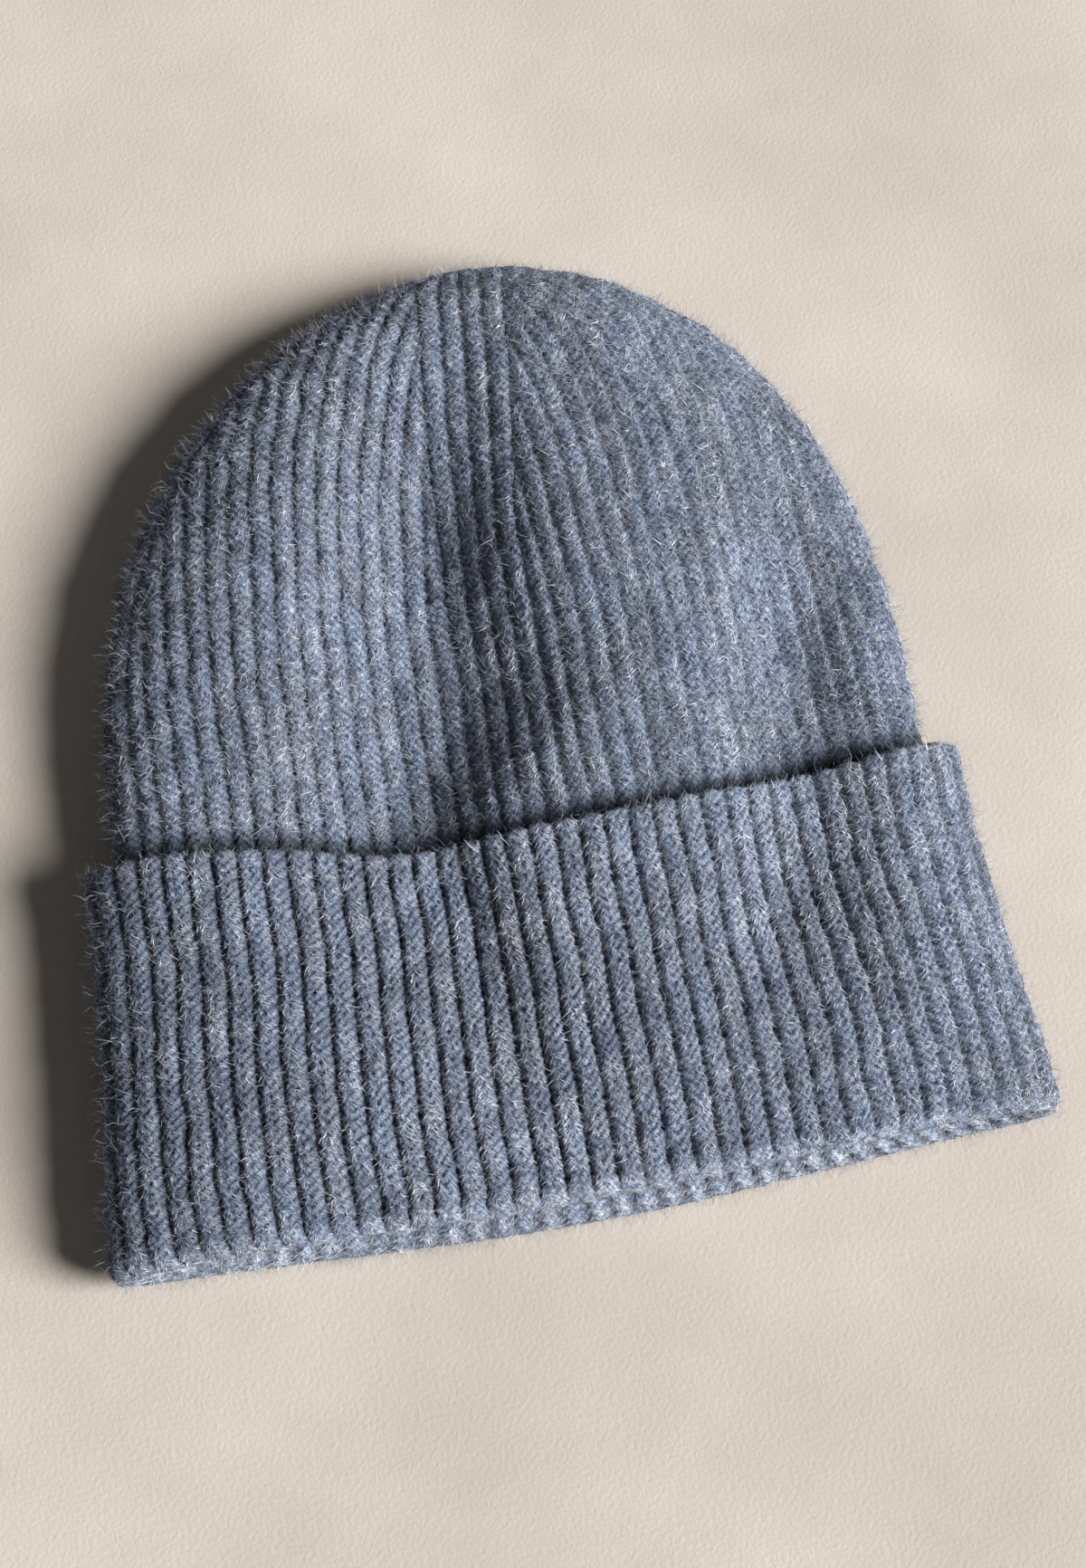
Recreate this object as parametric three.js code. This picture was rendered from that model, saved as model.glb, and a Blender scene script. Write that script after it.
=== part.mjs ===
// A cuffed beanie knitted in one-by-one rib, lying flat on its back panel.
// Millimetres. X runs across the hat, Y from the head opening to the crown's tip, Z up from the table.
// The crown is a flattened dome of thick knit, open at the fold. The cuff is the turned-up hem round it.
// Both are set off the same body, which is a flat oval section that changes as it goes up the hat.
import * as THREE from "three";
import { mergeVertices } from "three/addons/utils/BufferGeometryUtils.js";

// The whole hat.
const HAT_LENGTH = 246.5; // from the fold's lowest point to the crown's tip
const CROWN_HALF_WIDTH = 97.5; // where the crown leaves the cuff
const FOLD_SPREAD = 10.5; // how much wider the body is at the fold, each side
const SPREAD_LENGTH = 105; // the body widens over this length
const TIP_LEAN = 10; // the soft crown leans this far to the right
const DOME_LENGTH = 140; // the crown's outline curves in over this length
const TOP_DOME_LENGTH = 95; // its top layer comes down over this one
const UNDER_DOME_LENGTH = 50; // and the layer on the table curls up over this one
const TOP_ARCH_POWER = 2.5; // the top layer's arch from side to side
const UNDER_ARCH_POWER = 5; // the layer on the table is flatter
const UNDER_PRESS = 1.03; // and pressed flat along its middle

// The knit.
const RIBS = 76; // round the whole hat
const SPINE_RIBS = 4; // ribs that run up to the tip at the front, back and sides
const PANEL_RIBS = RIBS / 4 - SPINE_RIBS; // ribs of each of the four panels between the spines
const RUN_OUT_FIRST = [8.4, 3.8, 7.5, 7.5]; // how many of them end at the spine that the panel starts from
const WALL = 3.6; // from the ribs' crests to the other face
const CROWN_RELIEF = 1.3; // depth of the grooves between ribs
const CUFF_RELIEF = 1.7;
const SHOULDER = 0.27; // a rib's flat crest starts this share of a rib from its groove

// The turned-up cuff.
const CUFF_CLEARANCE = 0.6; // between the crown's wall and the cuff
const HEM_STANDS_OFF = 3.2; // how much further the free edge stands away at the front
const HEM_BRIDGES = 0.25; // and this share of the crown's valleys is spanned by it
const HEM_ROUND = 2; // the free edge is rounded over this length
const HEM_BACK = 96; // the free edge's height at the middle of the back
const FOLD_SIDE = 5.3; // the fold's lowest line at the two sides
const FOLD_TILT = 1; // how much higher it is at the right side, and lower at the left one
const FOLD_FRONT_DROP = 3.1; // and how far it comes down at the front and at the back
const FOLD_BACK_DROP = 4.3;
const FOLD_SEAT = 4.2; // the fold's solid depth, up to where the crown's wall stands in it
const SEAT_GAP = 0.3; // between the crown's lower end and that seat

// Sections of the body, up the hat from the fold: heights above the table of the underside, of the
// widest line and of the top layer. The top layer has two valleys: a deep dent left of the middle, with
// its depth, its middle and the widths of its left and right slopes, and a shallow sag further right.
const SECTIONS = [
  { up: 0, under: 4.2, side: 10.5, top: 21, dent: 0.5, dentAt: -8, left: 35, right: 10, sag: 0, sagAt: 50 },
  { up: 35, under: 4.2, side: 11, top: 26.5, dent: 2.5, dentAt: -13, left: 35, right: 10, sag: 2, sagAt: 54 },
  { up: 70, under: 4.2, side: 11.5, top: 25.5, dent: 6.5, dentAt: -18.5, left: 35, right: 10, sag: 7, sagAt: 60 },
  { up: 98, under: 4.2, side: 11.5, top: 27, dent: 10.3, dentAt: -23, left: 35, right: 17, sag: 7.2, sagAt: 67 },
  { up: 130, under: 0, side: 11, top: 29, dent: 15, dentAt: -14, left: 35, right: 26, sag: 7.6, sagAt: 71 },
  { up: 165, under: 0, side: 10.5, top: 31, dent: 15, dentAt: -11, left: 29, right: 18, sag: 3.6, sagAt: 76 },
  { up: 200, under: 0, side: 10.5, top: 30.5, dent: 7, dentAt: -7, left: 23, right: 19.5, sag: 1, sagAt: 74 },
  { up: 230, under: 0.5, side: 10.5, top: 33.5, dent: 3, dentAt: 7, left: 23, right: 19.5, sag: 0, sagAt: 70 },
  { up: HAT_LENGTH, under: 1, side: 11, top: 28, dent: 1, dentAt: 10, left: 23, right: 19.5, sag: 0, sagAt: 64 },
];
const SAG_WIDTH = 17;
const EDGE_ARCH = 0.4; // the valleys fade out towards the sides where the arch is lower than this

// The free edge's height at the front, from the left side (-1) to the right side (1).
const HEM_FRONT = [
  { across: -1, up: 101.5 },
  { across: -0.8, up: 99.5 },
  { across: -0.55, up: 95.5 },
  { across: -0.28, up: 90 },
  { across: 0, up: 89.3 },
  { across: 0.35, up: 90.8 },
  { across: 0.7, up: 94 },
  { across: 1, up: 97.5 },
];

// Rings of points along the hat.
const CROWN_RINGS = 10; // from the tip to the cuff's free edge, closer together near the tip
const CROWN_BASE = 98; // where the layer on the table leaves the cuff and comes down
const RIBS_START = 86; // below this the crown's ribs are behind the cuff and left out
const HIDDEN_RINGS = [74, 38]; // heights of plain rings behind the cuff, on both faces
const LINING_RINGS = 8; // on the hollow's face, from the tip to the cuff's free edge
const CUFF_OUTER_RINGS = [0.8, 0.55, 0.3, 0.1]; // shares of the way from the fold to the free edge
const CUFF_INNER_RINGS = [0.33, 0.66];

// One column of a table at a place along its key column, as a smooth curve that doesn't overshoot.
function between(rows, key, place, column) {
  const last = rows.length - 1;
  const i = THREE.MathUtils.clamp(
    rows.findIndex((row) => row[key] >= place),
    1,
    last,
  );
  const climb = (n) =>
    n < 1 || n > last ? 0 : (rows[n][column] - rows[n - 1][column]) / (rows[n][key] - rows[n - 1][key]);
  const slope = (a, b) => (a * b > 0 ? (2 * a * b) / (a + b) : 0);
  const span = rows[i][key] - rows[i - 1][key];
  const t = THREE.MathUtils.clamp((place - rows[i - 1][key]) / span, 0, 1);
  const rise = t * t * (3 - 2 * t);
  return (
    rows[i - 1][column] * (1 - rise) +
    rows[i][column] * rise +
    span * t * (1 - t) * ((1 - t) * slope(climb(i - 1), climb(i)) - t * slope(climb(i), climb(i + 1)))
  );
}

// Share of the full width or height that is left at a distance from the tip.
function dome(left, length) {
  const share = THREE.MathUtils.clamp(left / length, 0, 1);
  return (1 - (1 - share) ** 2.6) ** (1 / 1.75);
}

// A point of the body at a turn (0 at the right side, a quarter at the top layer's middle, a half at the
// left side) and a height up the hat, set outwards by so many millimetres. It follows a share of the
// valleys' depth.
function bodyPoint(turn, up, out, follows = 1) {
  const left = HAT_LENGTH + out - up;
  const spread = FOLD_SPREAD * Math.max(0, 1 - up / SPREAD_LENGTH);
  const half = (CROWN_HALF_WIDTH + out) * dome(left, DOME_LENGTH) + spread;
  const [across, away] = [Math.cos(turn * 2 * Math.PI), Math.sin(turn * 2 * Math.PI)];
  const power = away < 0 ? UNDER_ARCH_POWER : TOP_ARCH_POWER;
  const reach = (Math.abs(across) ** power + Math.abs(away) ** power) ** (-1 / power);
  const x = TIP_LEAN * (up / HAT_LENGTH) ** 3 + half * across * reach;
  const arch = Math.abs(away) * reach;
  const side = between(SECTIONS, "up", up, "side");
  if (away < 0) {
    const drop = (side - between(SECTIONS, "up", up, "under") + out) * dome(left, UNDER_DOME_LENGTH);
    return new THREE.Vector3(x, up, side - drop * Math.min(1, arch * UNDER_PRESS));
  }
  const lift = dome(left, TOP_DOME_LENGTH);
  const rise = (between(SECTIONS, "up", up, "top") - side + out) * lift;
  const off = x - between(SECTIONS, "up", up, "dentAt");
  const width = between(SECTIONS, "up", up, off < 0 ? "left" : "right");
  const dent = between(SECTIONS, "up", up, "dent") * Math.exp(-((off / width) ** 2));
  const offSag = x - between(SECTIONS, "up", up, "sagAt");
  const sag = between(SECTIONS, "up", up, "sag") * Math.exp(-((offSag / SAG_WIDTH) ** 2));
  const valleys = (dent + sag) * follows * Math.min(1, arch / EDGE_ARCH);
  return new THREE.Vector3(x, up, side + rise * arch - valleys * lift);
}

// Lengths along the section at a height, from the right side round to each of its steps. Each height
// is measured once and kept.
const STEPS = 160;
const measured = new Map();
function lengthsAt(up) {
  if (!measured.has(up)) {
    const sums = [0];
    for (let i = 1, last = bodyPoint(0, up, 0); i <= STEPS; i++) {
      const next = bodyPoint(i / STEPS, up, 0);
      sums.push(sums[i - 1] + next.distanceTo(last));
      last = next;
    }
    measured.set(up, sums);
  }
  return measured.get(up);
}

// Length of a quarter of the section, which is half of the top layer or half of the layer on the table.
function quarterLength(up, top) {
  const sums = lengthsAt(up);
  return (top ? sums[STEPS / 2] : sums[STEPS] - sums[STEPS / 2]) / 2;
}

// A point set off the body at a share of the way round, where each layer is shared out by its length.
function onBody(share, up, out, follows = 1) {
  const sums = lengthsAt(up);
  const middle = sums[STEPS / 2];
  const round = share - Math.floor(share);
  const wanted =
    round < 0.5 ? middle * round * 2 : middle + (sums[STEPS] - middle) * (round - 0.5) * 2;
  const i = Math.max(1, sums.findIndex((sum) => sum >= wanted));
  const turn = (i - 1 + (wanted - sums[i - 1]) / (sums[i] - sums[i - 1])) / STEPS;
  return bodyPoint(turn, up, out, follows);
}

// The fold's lowest line and the cuff's free edge, round the hat.
const frontness = (share) => Math.sin(share * 2 * Math.PI);
const acrossAt = (share) => (share < 0.5 ? 1 - 4 * share : 4 * share - 3);
function foldAt(share) {
  const front = frontness(share);
  const drop = front > 0 ? FOLD_FRONT_DROP : FOLD_BACK_DROP;
  return FOLD_SIDE + FOLD_TILT * acrossAt(share) - drop * front ** 2;
}
function hemAt(share) {
  const across = acrossAt(share);
  if (share < 0.5) return between(HEM_FRONT, "across", across, "up");
  const side = (across < 0 ? HEM_FRONT[0] : HEM_FRONT.at(-1)).up;
  return side + (HEM_BACK - side) * frontness(share) ** 2;
}

// A closed skin through rings of points. A ring of one point is a tip. Where a ring has three points
// for each one of its neighbour, they are fanned together.
function skin(rings) {
  const faces = [];
  const starts = [];
  rings.reduce((count, ring) => {
    starts.push(count);
    return count + ring.length;
  }, 0);
  for (let r = 1; r < rings.length; r++) {
    const most = Math.max(rings[r - 1].length, rings[r].length);
    const at = (n, i) => starts[n] + (Math.floor((i * rings[n].length) / most + 0.5) % rings[n].length);
    for (let i = 0; i < most; i++) {
      faces.push(at(r - 1, i), at(r - 1, i + 1), at(r, i));
      faces.push(at(r - 1, i + 1), at(r, i + 1), at(r, i));
    }
  }
  const loose = new THREE.BufferGeometry().setFromPoints(rings.flat()).setIndex(faces);
  const merged = mergeVertices(loose, 1e-3);
  const kept = [];
  for (let i = 0; i < merged.index.count; i += 3) {
    const corners = [0, 1, 2].map((n) => merged.index.getX(i + n));
    if (new Set(corners).size === 3) kept.push(...corners);
  }
  merged.setIndex(kept);
  merged.computeVertexNormals();
  return merged;
}

const everyRib = (make) => Array.from({ length: RIBS }, (_, rib) => make(rib)).flat();
const plainRing = (make) => everyRib((rib) => make(rib / RIBS));

// A ring of ribs: a groove and the two shoulders of a flat crest for each.
const ribbedRing = (make) =>
  everyRib((rib) => [0, SHOULDER, 1 - SHOULDER].map((part) => make(rib + part, part === 0)));

// A ring of the crown. Ribs keep their spacing as the crown narrows, so those beside a spine run out
// against it, and only the spines' ribs reach the tip. Panels are counted from the right side.
function crownRing(up) {
  return ribbedRing((line, isGroove) => {
    const quarter = Math.floor((line * 4) / RIBS);
    const length = quarterLength(up, quarter < 2);
    const full = quarterLength(CROWN_BASE, quarter < 2) / (RIBS / 4);
    const pitch = Math.min(full, length / SPINE_RIBS);
    const halfSpine = SPINE_RIBS / 2;
    const panel = length - SPINE_RIBS * pitch;
    const place = line - (quarter * RIBS) / 4;
    const fromEnd = RIBS / 4 - place;
    const tipRib = RUN_OUT_FIRST[quarter];
    const inPanel = (panel * tipRib) / PANEL_RIBS + (place - halfSpine - tipRib) * pitch;
    const inSpine = Math.min(place, fromEnd) <= halfSpine;
    const runsOut = !inSpine && (inPanel < 1e-6 || inPanel > panel - 1e-6);
    let along = halfSpine * pitch + THREE.MathUtils.clamp(inPanel, 0, panel);
    if (place <= halfSpine) along = place * pitch;
    if (fromEnd <= halfSpine) along = length - fromEnd * pitch;
    const depth = isGroove || runsOut ? CROWN_RELIEF * (pitch / full) : 0;
    return onBody((quarter + along / length) / 4, up, -depth);
  });
}

// Heights of rings down from a tip, closer together near it.
const downFrom = (tip, base, count) =>
  Array.from({ length: count }, (_, i) => tip - (tip - base) * ((i + 1) / count) ** 2);

// Crown: the hat's body, from the tip down to the fold. The cuff hides its lower third.
function crown() {
  const liningTip = HAT_LENGTH - WALL;
  const foot = (share) => foldAt(share) + FOLD_SEAT + SEAT_GAP;
  return skin([
    [bodyPoint(0, HAT_LENGTH, 0)],
    ...downFrom(HAT_LENGTH, CROWN_BASE, CROWN_RINGS).map(crownRing),
    crownRing(RIBS_START),
    ...HIDDEN_RINGS.map((up) => plainRing((share) => onBody(share, up, 0))),
    plainRing((share) => onBody(share, foot(share), 0)),
    plainRing((share) => onBody(share, foot(share), -WALL)),
    ...[...downFrom(liningTip, CROWN_BASE, LINING_RINGS), ...HIDDEN_RINGS]
      .reverse()
      .map((up) => plainRing((share) => onBody(share, up, -WALL))),
    [bodyPoint(0, liningTip, -WALL)],
  ]);
}

// The fold is a half round, from the crown's inner face at -90 degrees to the cuff's crests at 90.
const FOLD_MIDDLE = CUFF_CLEARANCE / 2;
const FOLD_RADIUS = WALL + FOLD_MIDDLE;
function onFold(share, degrees, inset) {
  const angle = THREE.MathUtils.degToRad(degrees);
  const up = foldAt(share) + FOLD_RADIUS * (1 - Math.cos(angle));
  return onBody(share, up, FOLD_MIDDLE + FOLD_RADIUS * Math.sin(angle) - inset);
}

// A point of the band, a share of the way up from the fold's seat to the free edge, less a drop.
function onBand(share, climb, drop, out) {
  const seat = foldAt(share) + FOLD_SEAT;
  const standsOff = HEM_STANDS_OFF * climb ** 3 * THREE.MathUtils.clamp(1 + 2.5 * frontness(share), 0, 1);
  const up = seat + climb * (hemAt(share) - seat) - drop;
  return onBody(share, up, CUFF_CLEARANCE + out + standsOff, 1 - HEM_BRIDGES * climb);
}

// Cuff: the band turned up outside the crown, with the fold below it and the free edge on top.
function cuff() {
  const seat = plainRing((share) => onBody(share, foldAt(share) + FOLD_SEAT, 0));
  const ribbed = (place) =>
    ribbedRing((line, isGroove) => place(line / RIBS, isGroove ? CUFF_RELIEF : 0));
  return skin([
    seat,
    plainRing((share) => onBand(share, 0, 0, 0)),
    ...CUFF_INNER_RINGS.map((climb) => plainRing((share) => onBand(share, climb, 0, 0))),
    plainRing((share) => onBand(share, 1, HEM_ROUND, 0)),
    plainRing((share) => onBand(share, 1, 0, WALL / 2)),
    ribbed((share, relief) => onBand(share, 1, HEM_ROUND, WALL - relief)),
    ...CUFF_OUTER_RINGS.map((climb) => ribbed((share, relief) => onBand(share, climb, 0, WALL - relief))),
    ribbed((share, relief) => onFold(share, 60, relief * 0.7)),
    ribbed((share, relief) => onFold(share, 15, relief * 0.3)),
    plainRing((share) => onFold(share, -35, 0)),
    plainRing((share) => onBody(share, foldAt(share) + FOLD_SEAT, -WALL)),
    seat,
  ]);
}

function piece(name, geometry, colour) {
  const wool = new THREE.MeshStandardMaterial({ color: colour, roughness: 0.95, metalness: 0 });
  const mesh = new THREE.Mesh(geometry, wool);
  mesh.name = name;
  return mesh;
}

const beanie = new THREE.Group();
beanie.add(piece("crown", crown(), 0x6f8097), piece("cuff", cuff(), 0x66768d));

// The origin is at the middle of the hat's footprint, on the table.
const extent = new THREE.Box3().setFromObject(beanie, true);
const middle = extent.getCenter(new THREE.Vector3());
beanie.children.forEach((mesh) => mesh.position.set(-middle.x, -middle.y, -extent.min.z));

export default beanie;
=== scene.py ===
import math
import bmesh
import bpy
import numpy as np
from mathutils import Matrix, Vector


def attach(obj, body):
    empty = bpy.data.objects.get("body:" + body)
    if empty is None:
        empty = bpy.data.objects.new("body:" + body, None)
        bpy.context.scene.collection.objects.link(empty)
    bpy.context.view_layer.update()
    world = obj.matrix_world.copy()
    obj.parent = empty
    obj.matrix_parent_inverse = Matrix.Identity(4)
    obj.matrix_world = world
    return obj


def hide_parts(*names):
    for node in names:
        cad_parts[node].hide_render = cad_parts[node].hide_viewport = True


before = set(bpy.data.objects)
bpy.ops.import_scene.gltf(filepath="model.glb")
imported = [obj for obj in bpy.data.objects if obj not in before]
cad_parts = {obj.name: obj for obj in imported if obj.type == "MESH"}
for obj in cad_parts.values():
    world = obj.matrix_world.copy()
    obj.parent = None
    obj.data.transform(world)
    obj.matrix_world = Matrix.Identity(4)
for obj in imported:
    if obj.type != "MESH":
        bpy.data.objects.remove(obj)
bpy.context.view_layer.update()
scene = bpy.context.scene

# Camera. It looks down on the hat from the cuff's side, 20 degrees off plumb and a little from the
# left, and stands 0.8 m from a point near the hat's middle.
CAMERA_AIM, CAMERA_AWAY = Vector((0.007, -0.017, 0.010)), 0.8
CAMERA_TURN, CAMERA_TILT = math.radians(-10.2), math.radians(70)
SENSOR_WIDTH, LENS = 36, 76.5

to_camera = Vector(
    (
        math.sin(CAMERA_TURN) * math.cos(CAMERA_TILT),
        -math.cos(CAMERA_TURN) * math.cos(CAMERA_TILT),
        math.sin(CAMERA_TILT),
    )
)
camera = bpy.data.objects.new("camera", bpy.data.cameras.new("camera"))
camera.data.sensor_width = SENSOR_WIDTH
camera.data.lens = LENS
camera.location = CAMERA_AIM + to_camera * CAMERA_AWAY
camera.rotation_euler = to_camera.to_track_quat("Z", "Y").to_euler()
scene.collection.objects.link(camera)
scene.camera = camera

# Table. A plain pale top that the hat lies on, of matt plaster. It is one flat sheet, far wider than
# the view, with a fine grain and faint clouding.
TABLE_HALF_WIDTH = 20
PLASTER_DARK, PLASTER_PALE = (0.44, 0.402, 0.364), (0.52, 0.482, 0.443)
CLOUD_SCALE, GRAIN_SCALE, GRAIN_HEIGHT = 9, 900, 0.0004


def add_mesh(name, bm):
    mesh = bpy.data.meshes.new(name)
    bm.to_mesh(mesh)
    bm.free()
    piece = bpy.data.objects.new(name, mesh)
    scene.collection.objects.link(piece)
    return piece


def new_material(name):
    material = bpy.data.materials.new(name)
    material.use_nodes = True
    return material


def add_node(material, kind, settings=None, **inputs):
    """A keyword is the name of a node's input, with _ for a space, or its number, as _0 or _1."""
    node = material.node_tree.nodes.new(kind)
    for key, value in (settings or {}).items():
        setattr(node, key, value)
    for key, value in inputs.items():
        socket = node.inputs[int(key[1:])] if key[0] == "_" else node.inputs[key.replace("_", " ")]
        if isinstance(value, bpy.types.NodeSocket):
            material.node_tree.links.new(value, socket)
        else:
            socket.default_value = value
    return node


def noise(material, where, scale, detail, roughness):
    kind = "ShaderNodeTexNoise"
    node = add_node(material, kind, Vector=where, Scale=scale, Detail=detail, Roughness=roughness)
    return node.outputs["Fac"]


def bumps(material, height, strength, distance):
    node = add_node(material, "ShaderNodeBump", Height=height, Strength=strength, Distance=distance)
    return node.outputs["Normal"]


def colour_steps(material, factor, steps):
    ramp = add_node(material, "ShaderNodeValToRGB", Fac=factor)
    stops = ramp.color_ramp.elements
    while len(stops) < len(steps):
        stops.new(0.5)
    for stop, (place, colour) in zip(stops, steps):
        stop.position = place
        stop.color = (*colour, 1)
    return ramp.outputs["Color"]


def finish_material(material, linked, numbers):
    shader = material.node_tree.nodes["Principled BSDF"]
    for name, socket in linked.items():
        material.node_tree.links.new(socket, shader.inputs[name])
    for name, value in numbers.items():
        shader.inputs[name].default_value = value


plaster = new_material("pale_plaster")
on_table = add_node(plaster, "ShaderNodeTexCoord").outputs["Object"]
clouds = noise(plaster, on_table, CLOUD_SCALE, 5, 0.6)
grain = noise(plaster, on_table, GRAIN_SCALE, 3, 0.5)
finish_material(
    plaster,
    {
        "Base Color": colour_steps(plaster, clouds, [(0.35, PLASTER_DARK), (0.65, PLASTER_PALE)]),
        "Normal": bumps(plaster, grain, 0.35, GRAIN_HEIGHT),
    },
    {"Roughness": 0.9, "Specular IOR Level": 0.2},
)

table_bm = bmesh.new()
bmesh.ops.create_grid(table_bm, x_segments=1, y_segments=1, size=TABLE_HALF_WIDTH)
table = add_mesh("table", table_bm)
table.data.materials.append(plaster)

# Light. One far and broad soft source stands low on the right in front, a little warm like daylight
# through a window, and a dim even fill comes from all round.
LIGHT_FROM = Vector((0.755, -0.385, 0.53)).normalized()
LIGHT_WIDTH, LIGHT_POWER, FILL_POWER = math.radians(28), 8.0, 0.105
DAYLIGHT = (1.0, 0.97, 0.93)

light = bpy.data.objects.new("key", bpy.data.lights.new("key", "SUN"))
light.data.angle = LIGHT_WIDTH
light.data.energy = LIGHT_POWER
light.data.color = DAYLIGHT
light.location = LIGHT_FROM
light.rotation_euler = LIGHT_FROM.to_track_quat("Z", "Y").to_euler()
scene.collection.objects.link(light)
scene.world = bpy.data.worlds.new("room")
scene.world.use_nodes = True
room = scene.world.node_tree.nodes["Background"]
room.inputs["Color"].default_value = (*DAYLIGHT, 1)
room.inputs["Strength"].default_value = FILL_POWER
scene.view_settings.view_transform = "Standard"

# Crown. The hat's body is a flattened dome of thick one-by-one rib, knitted from wool and lightly
# felted, so it is one closed skin with ribs outside and a plain hollow face. Ribs beside the four
# spines run out against them, and only the spines' ribs reach the tip. Shapes are in millimetres.
HAT_LENGTH, WALL = 246.5, 3.6
CROWN_HALF_WIDTH = 97.5
FOLD_SPREAD, SPREAD_LENGTH = 10.5, 105
TIP_LEAN = 10
DOME_LENGTH, TOP_DOME_LENGTH, UNDER_DOME_LENGTH = 140, 95, 50
DOME_FALL, DOME_FULLNESS = 2.6, 1.75
TOP_ARCH_POWER, UNDER_ARCH_POWER, UNDER_PRESS = 2.5, 5, 1.03
EDGE_ARCH = 0.4
CENTRE = np.array([-0.098, 123.805, 0])  # where the frame's origin lies on the hat

# Places up from the fold, and what the flattened tube is like at each of them.
UP_PLACES = [0, 35, 70, 98, 130, 165, 200, 230, HAT_LENGTH]
UNDER_HEIGHTS = [4.2, 4.2, 4.2, 4.2, 0, 0, 0, 0.5, 1]
SIDE_HEIGHTS = [10.5, 11, 11.5, 11.5, 11, 10.5, 10.5, 10.5, 11]
TOP_HEIGHTS = [21, 26.5, 25.5, 27, 29, 31, 30.5, 33.5, 28]
DENT_DEPTHS = [0.5, 2.5, 6.5, 10.3, 15, 15, 7, 3, 1]
DENT_PLACES = [-8, -13, -18.5, -23, -14, -11, -7, 7, 10]
DENT_LEFTS = [35, 35, 35, 35, 35, 29, 23, 23, 23]
DENT_RIGHTS = [10, 10, 10, 17, 26, 18, 19.5, 19.5, 19.5]
SAG_DEPTHS = [0, 2, 7, 7.2, 7.6, 3.6, 1, 0, 0]
SAG_PLACES = [50, 54, 60, 67, 71, 76, 74, 70, 64]
SAG_WIDTH = 17

# How high the cuff's free edge stands from the hat's left side to its right, and at the back.
HEM_ACROSS = [-1, -0.8, -0.55, -0.28, 0, 0.35, 0.7, 1]
HEM_HEIGHTS = [101.5, 99.5, 95.5, 90, 89.3, 90.8, 94, 97.5]
HEM_BACK = 96


def smooth_curve(places, values, at):
    places, values = np.array(places, float), np.array(values, float)
    climbs = np.diff(values) / np.diff(places)
    before, after = np.append(0, climbs), np.append(climbs, 0)
    product = before * after
    slopes = np.where(product > 0, 2 * product / np.where(product > 0, before + after, 1), 0)
    i = np.clip(np.searchsorted(places, at), 1, len(places) - 1)
    span = places[i] - places[i - 1]
    t = np.clip((at - places[i - 1]) / span, 0, 1)
    rise = t * t * (3 - 2 * t)
    turn = span * t * (1 - t) * ((1 - t) * slopes[i - 1] - t * slopes[i])
    return values[i - 1] * (1 - rise) + values[i] * rise + turn


def dome(left, length):
    return (1 - (1 - np.clip(left / length, 0, 1)) ** DOME_FALL) ** (1 / DOME_FULLNESS)


def body_point(turn, up, out, follows=1):
    """A point of the flattened tube, so far round it, up from the fold and out off the cloth's face.

    follows says how much of the dent and the sag it takes part in.
    """
    left = HAT_LENGTH + out - up
    spread = FOLD_SPREAD * np.maximum(0, 1 - up / SPREAD_LENGTH)
    half = (CROWN_HALF_WIDTH + out) * dome(left, DOME_LENGTH) + spread
    across, away = np.cos(turn * 2 * np.pi), np.sin(turn * 2 * np.pi)
    power = np.where(away < 0, UNDER_ARCH_POWER, TOP_ARCH_POWER)
    reach = (np.abs(across) ** power + np.abs(away) ** power) ** (-1 / power)
    x = TIP_LEAN * (up / HAT_LENGTH) ** 3 + half * across * reach
    arch = np.abs(away) * reach
    side = smooth_curve(UP_PLACES, SIDE_HEIGHTS, up)
    drop = (side - smooth_curve(UP_PLACES, UNDER_HEIGHTS, up) + out) * dome(left, UNDER_DOME_LENGTH)
    under = side - drop * np.minimum(1, arch * UNDER_PRESS)
    off = x - smooth_curve(UP_PLACES, DENT_PLACES, up)
    left_slope = smooth_curve(UP_PLACES, DENT_LEFTS, up)
    right_slope = smooth_curve(UP_PLACES, DENT_RIGHTS, up)
    slope = np.where(off < 0, left_slope, right_slope)
    dent = smooth_curve(UP_PLACES, DENT_DEPTHS, up) * np.exp(-((off / slope) ** 2))
    off = x - smooth_curve(UP_PLACES, SAG_PLACES, up)
    sag = smooth_curve(UP_PLACES, SAG_DEPTHS, up) * np.exp(-((off / SAG_WIDTH) ** 2))
    rise = smooth_curve(UP_PLACES, TOP_HEIGHTS, up) - side + out
    valleys = (dent + sag) * follows * np.minimum(1, arch / EDGE_ARCH)
    top = side + (rise * arch - valleys) * dome(left, TOP_DOME_LENGTH)
    return np.stack([x, up + 0 * x, np.where(away < 0, under, top)], -1)


# The way round the hat goes by length of cloth, with half of it in each layer.
UP_STEPS, TURN_STEPS, SHARE_STEPS = 400, 240, 720
measured_up = np.linspace(0, HAT_LENGTH - 0.05, UP_STEPS)
measured_turn = np.linspace(0, 1, TURN_STEPS + 1)
measured = body_point(measured_turn[None, :], measured_up[:, None], 0)
steps = np.linalg.norm(np.diff(measured, axis=1), axis=2)
lengths = np.concatenate([np.zeros((UP_STEPS, 1)), np.cumsum(steps, 1)], 1)
top_length, whole_length = lengths[:, TURN_STEPS // 2], lengths[:, -1]
even_shares = np.linspace(0, 1, SHARE_STEPS + 1)
turns = np.empty((UP_STEPS, SHARE_STEPS + 1))
for row in range(UP_STEPS):
    wanted = np.where(
        even_shares < 0.5,
        top_length[row] * even_shares * 2,
        top_length[row] + (whole_length[row] - top_length[row]) * (even_shares - 0.5) * 2,
    )
    turns[row] = np.interp(wanted, lengths[row], measured_turn)


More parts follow.
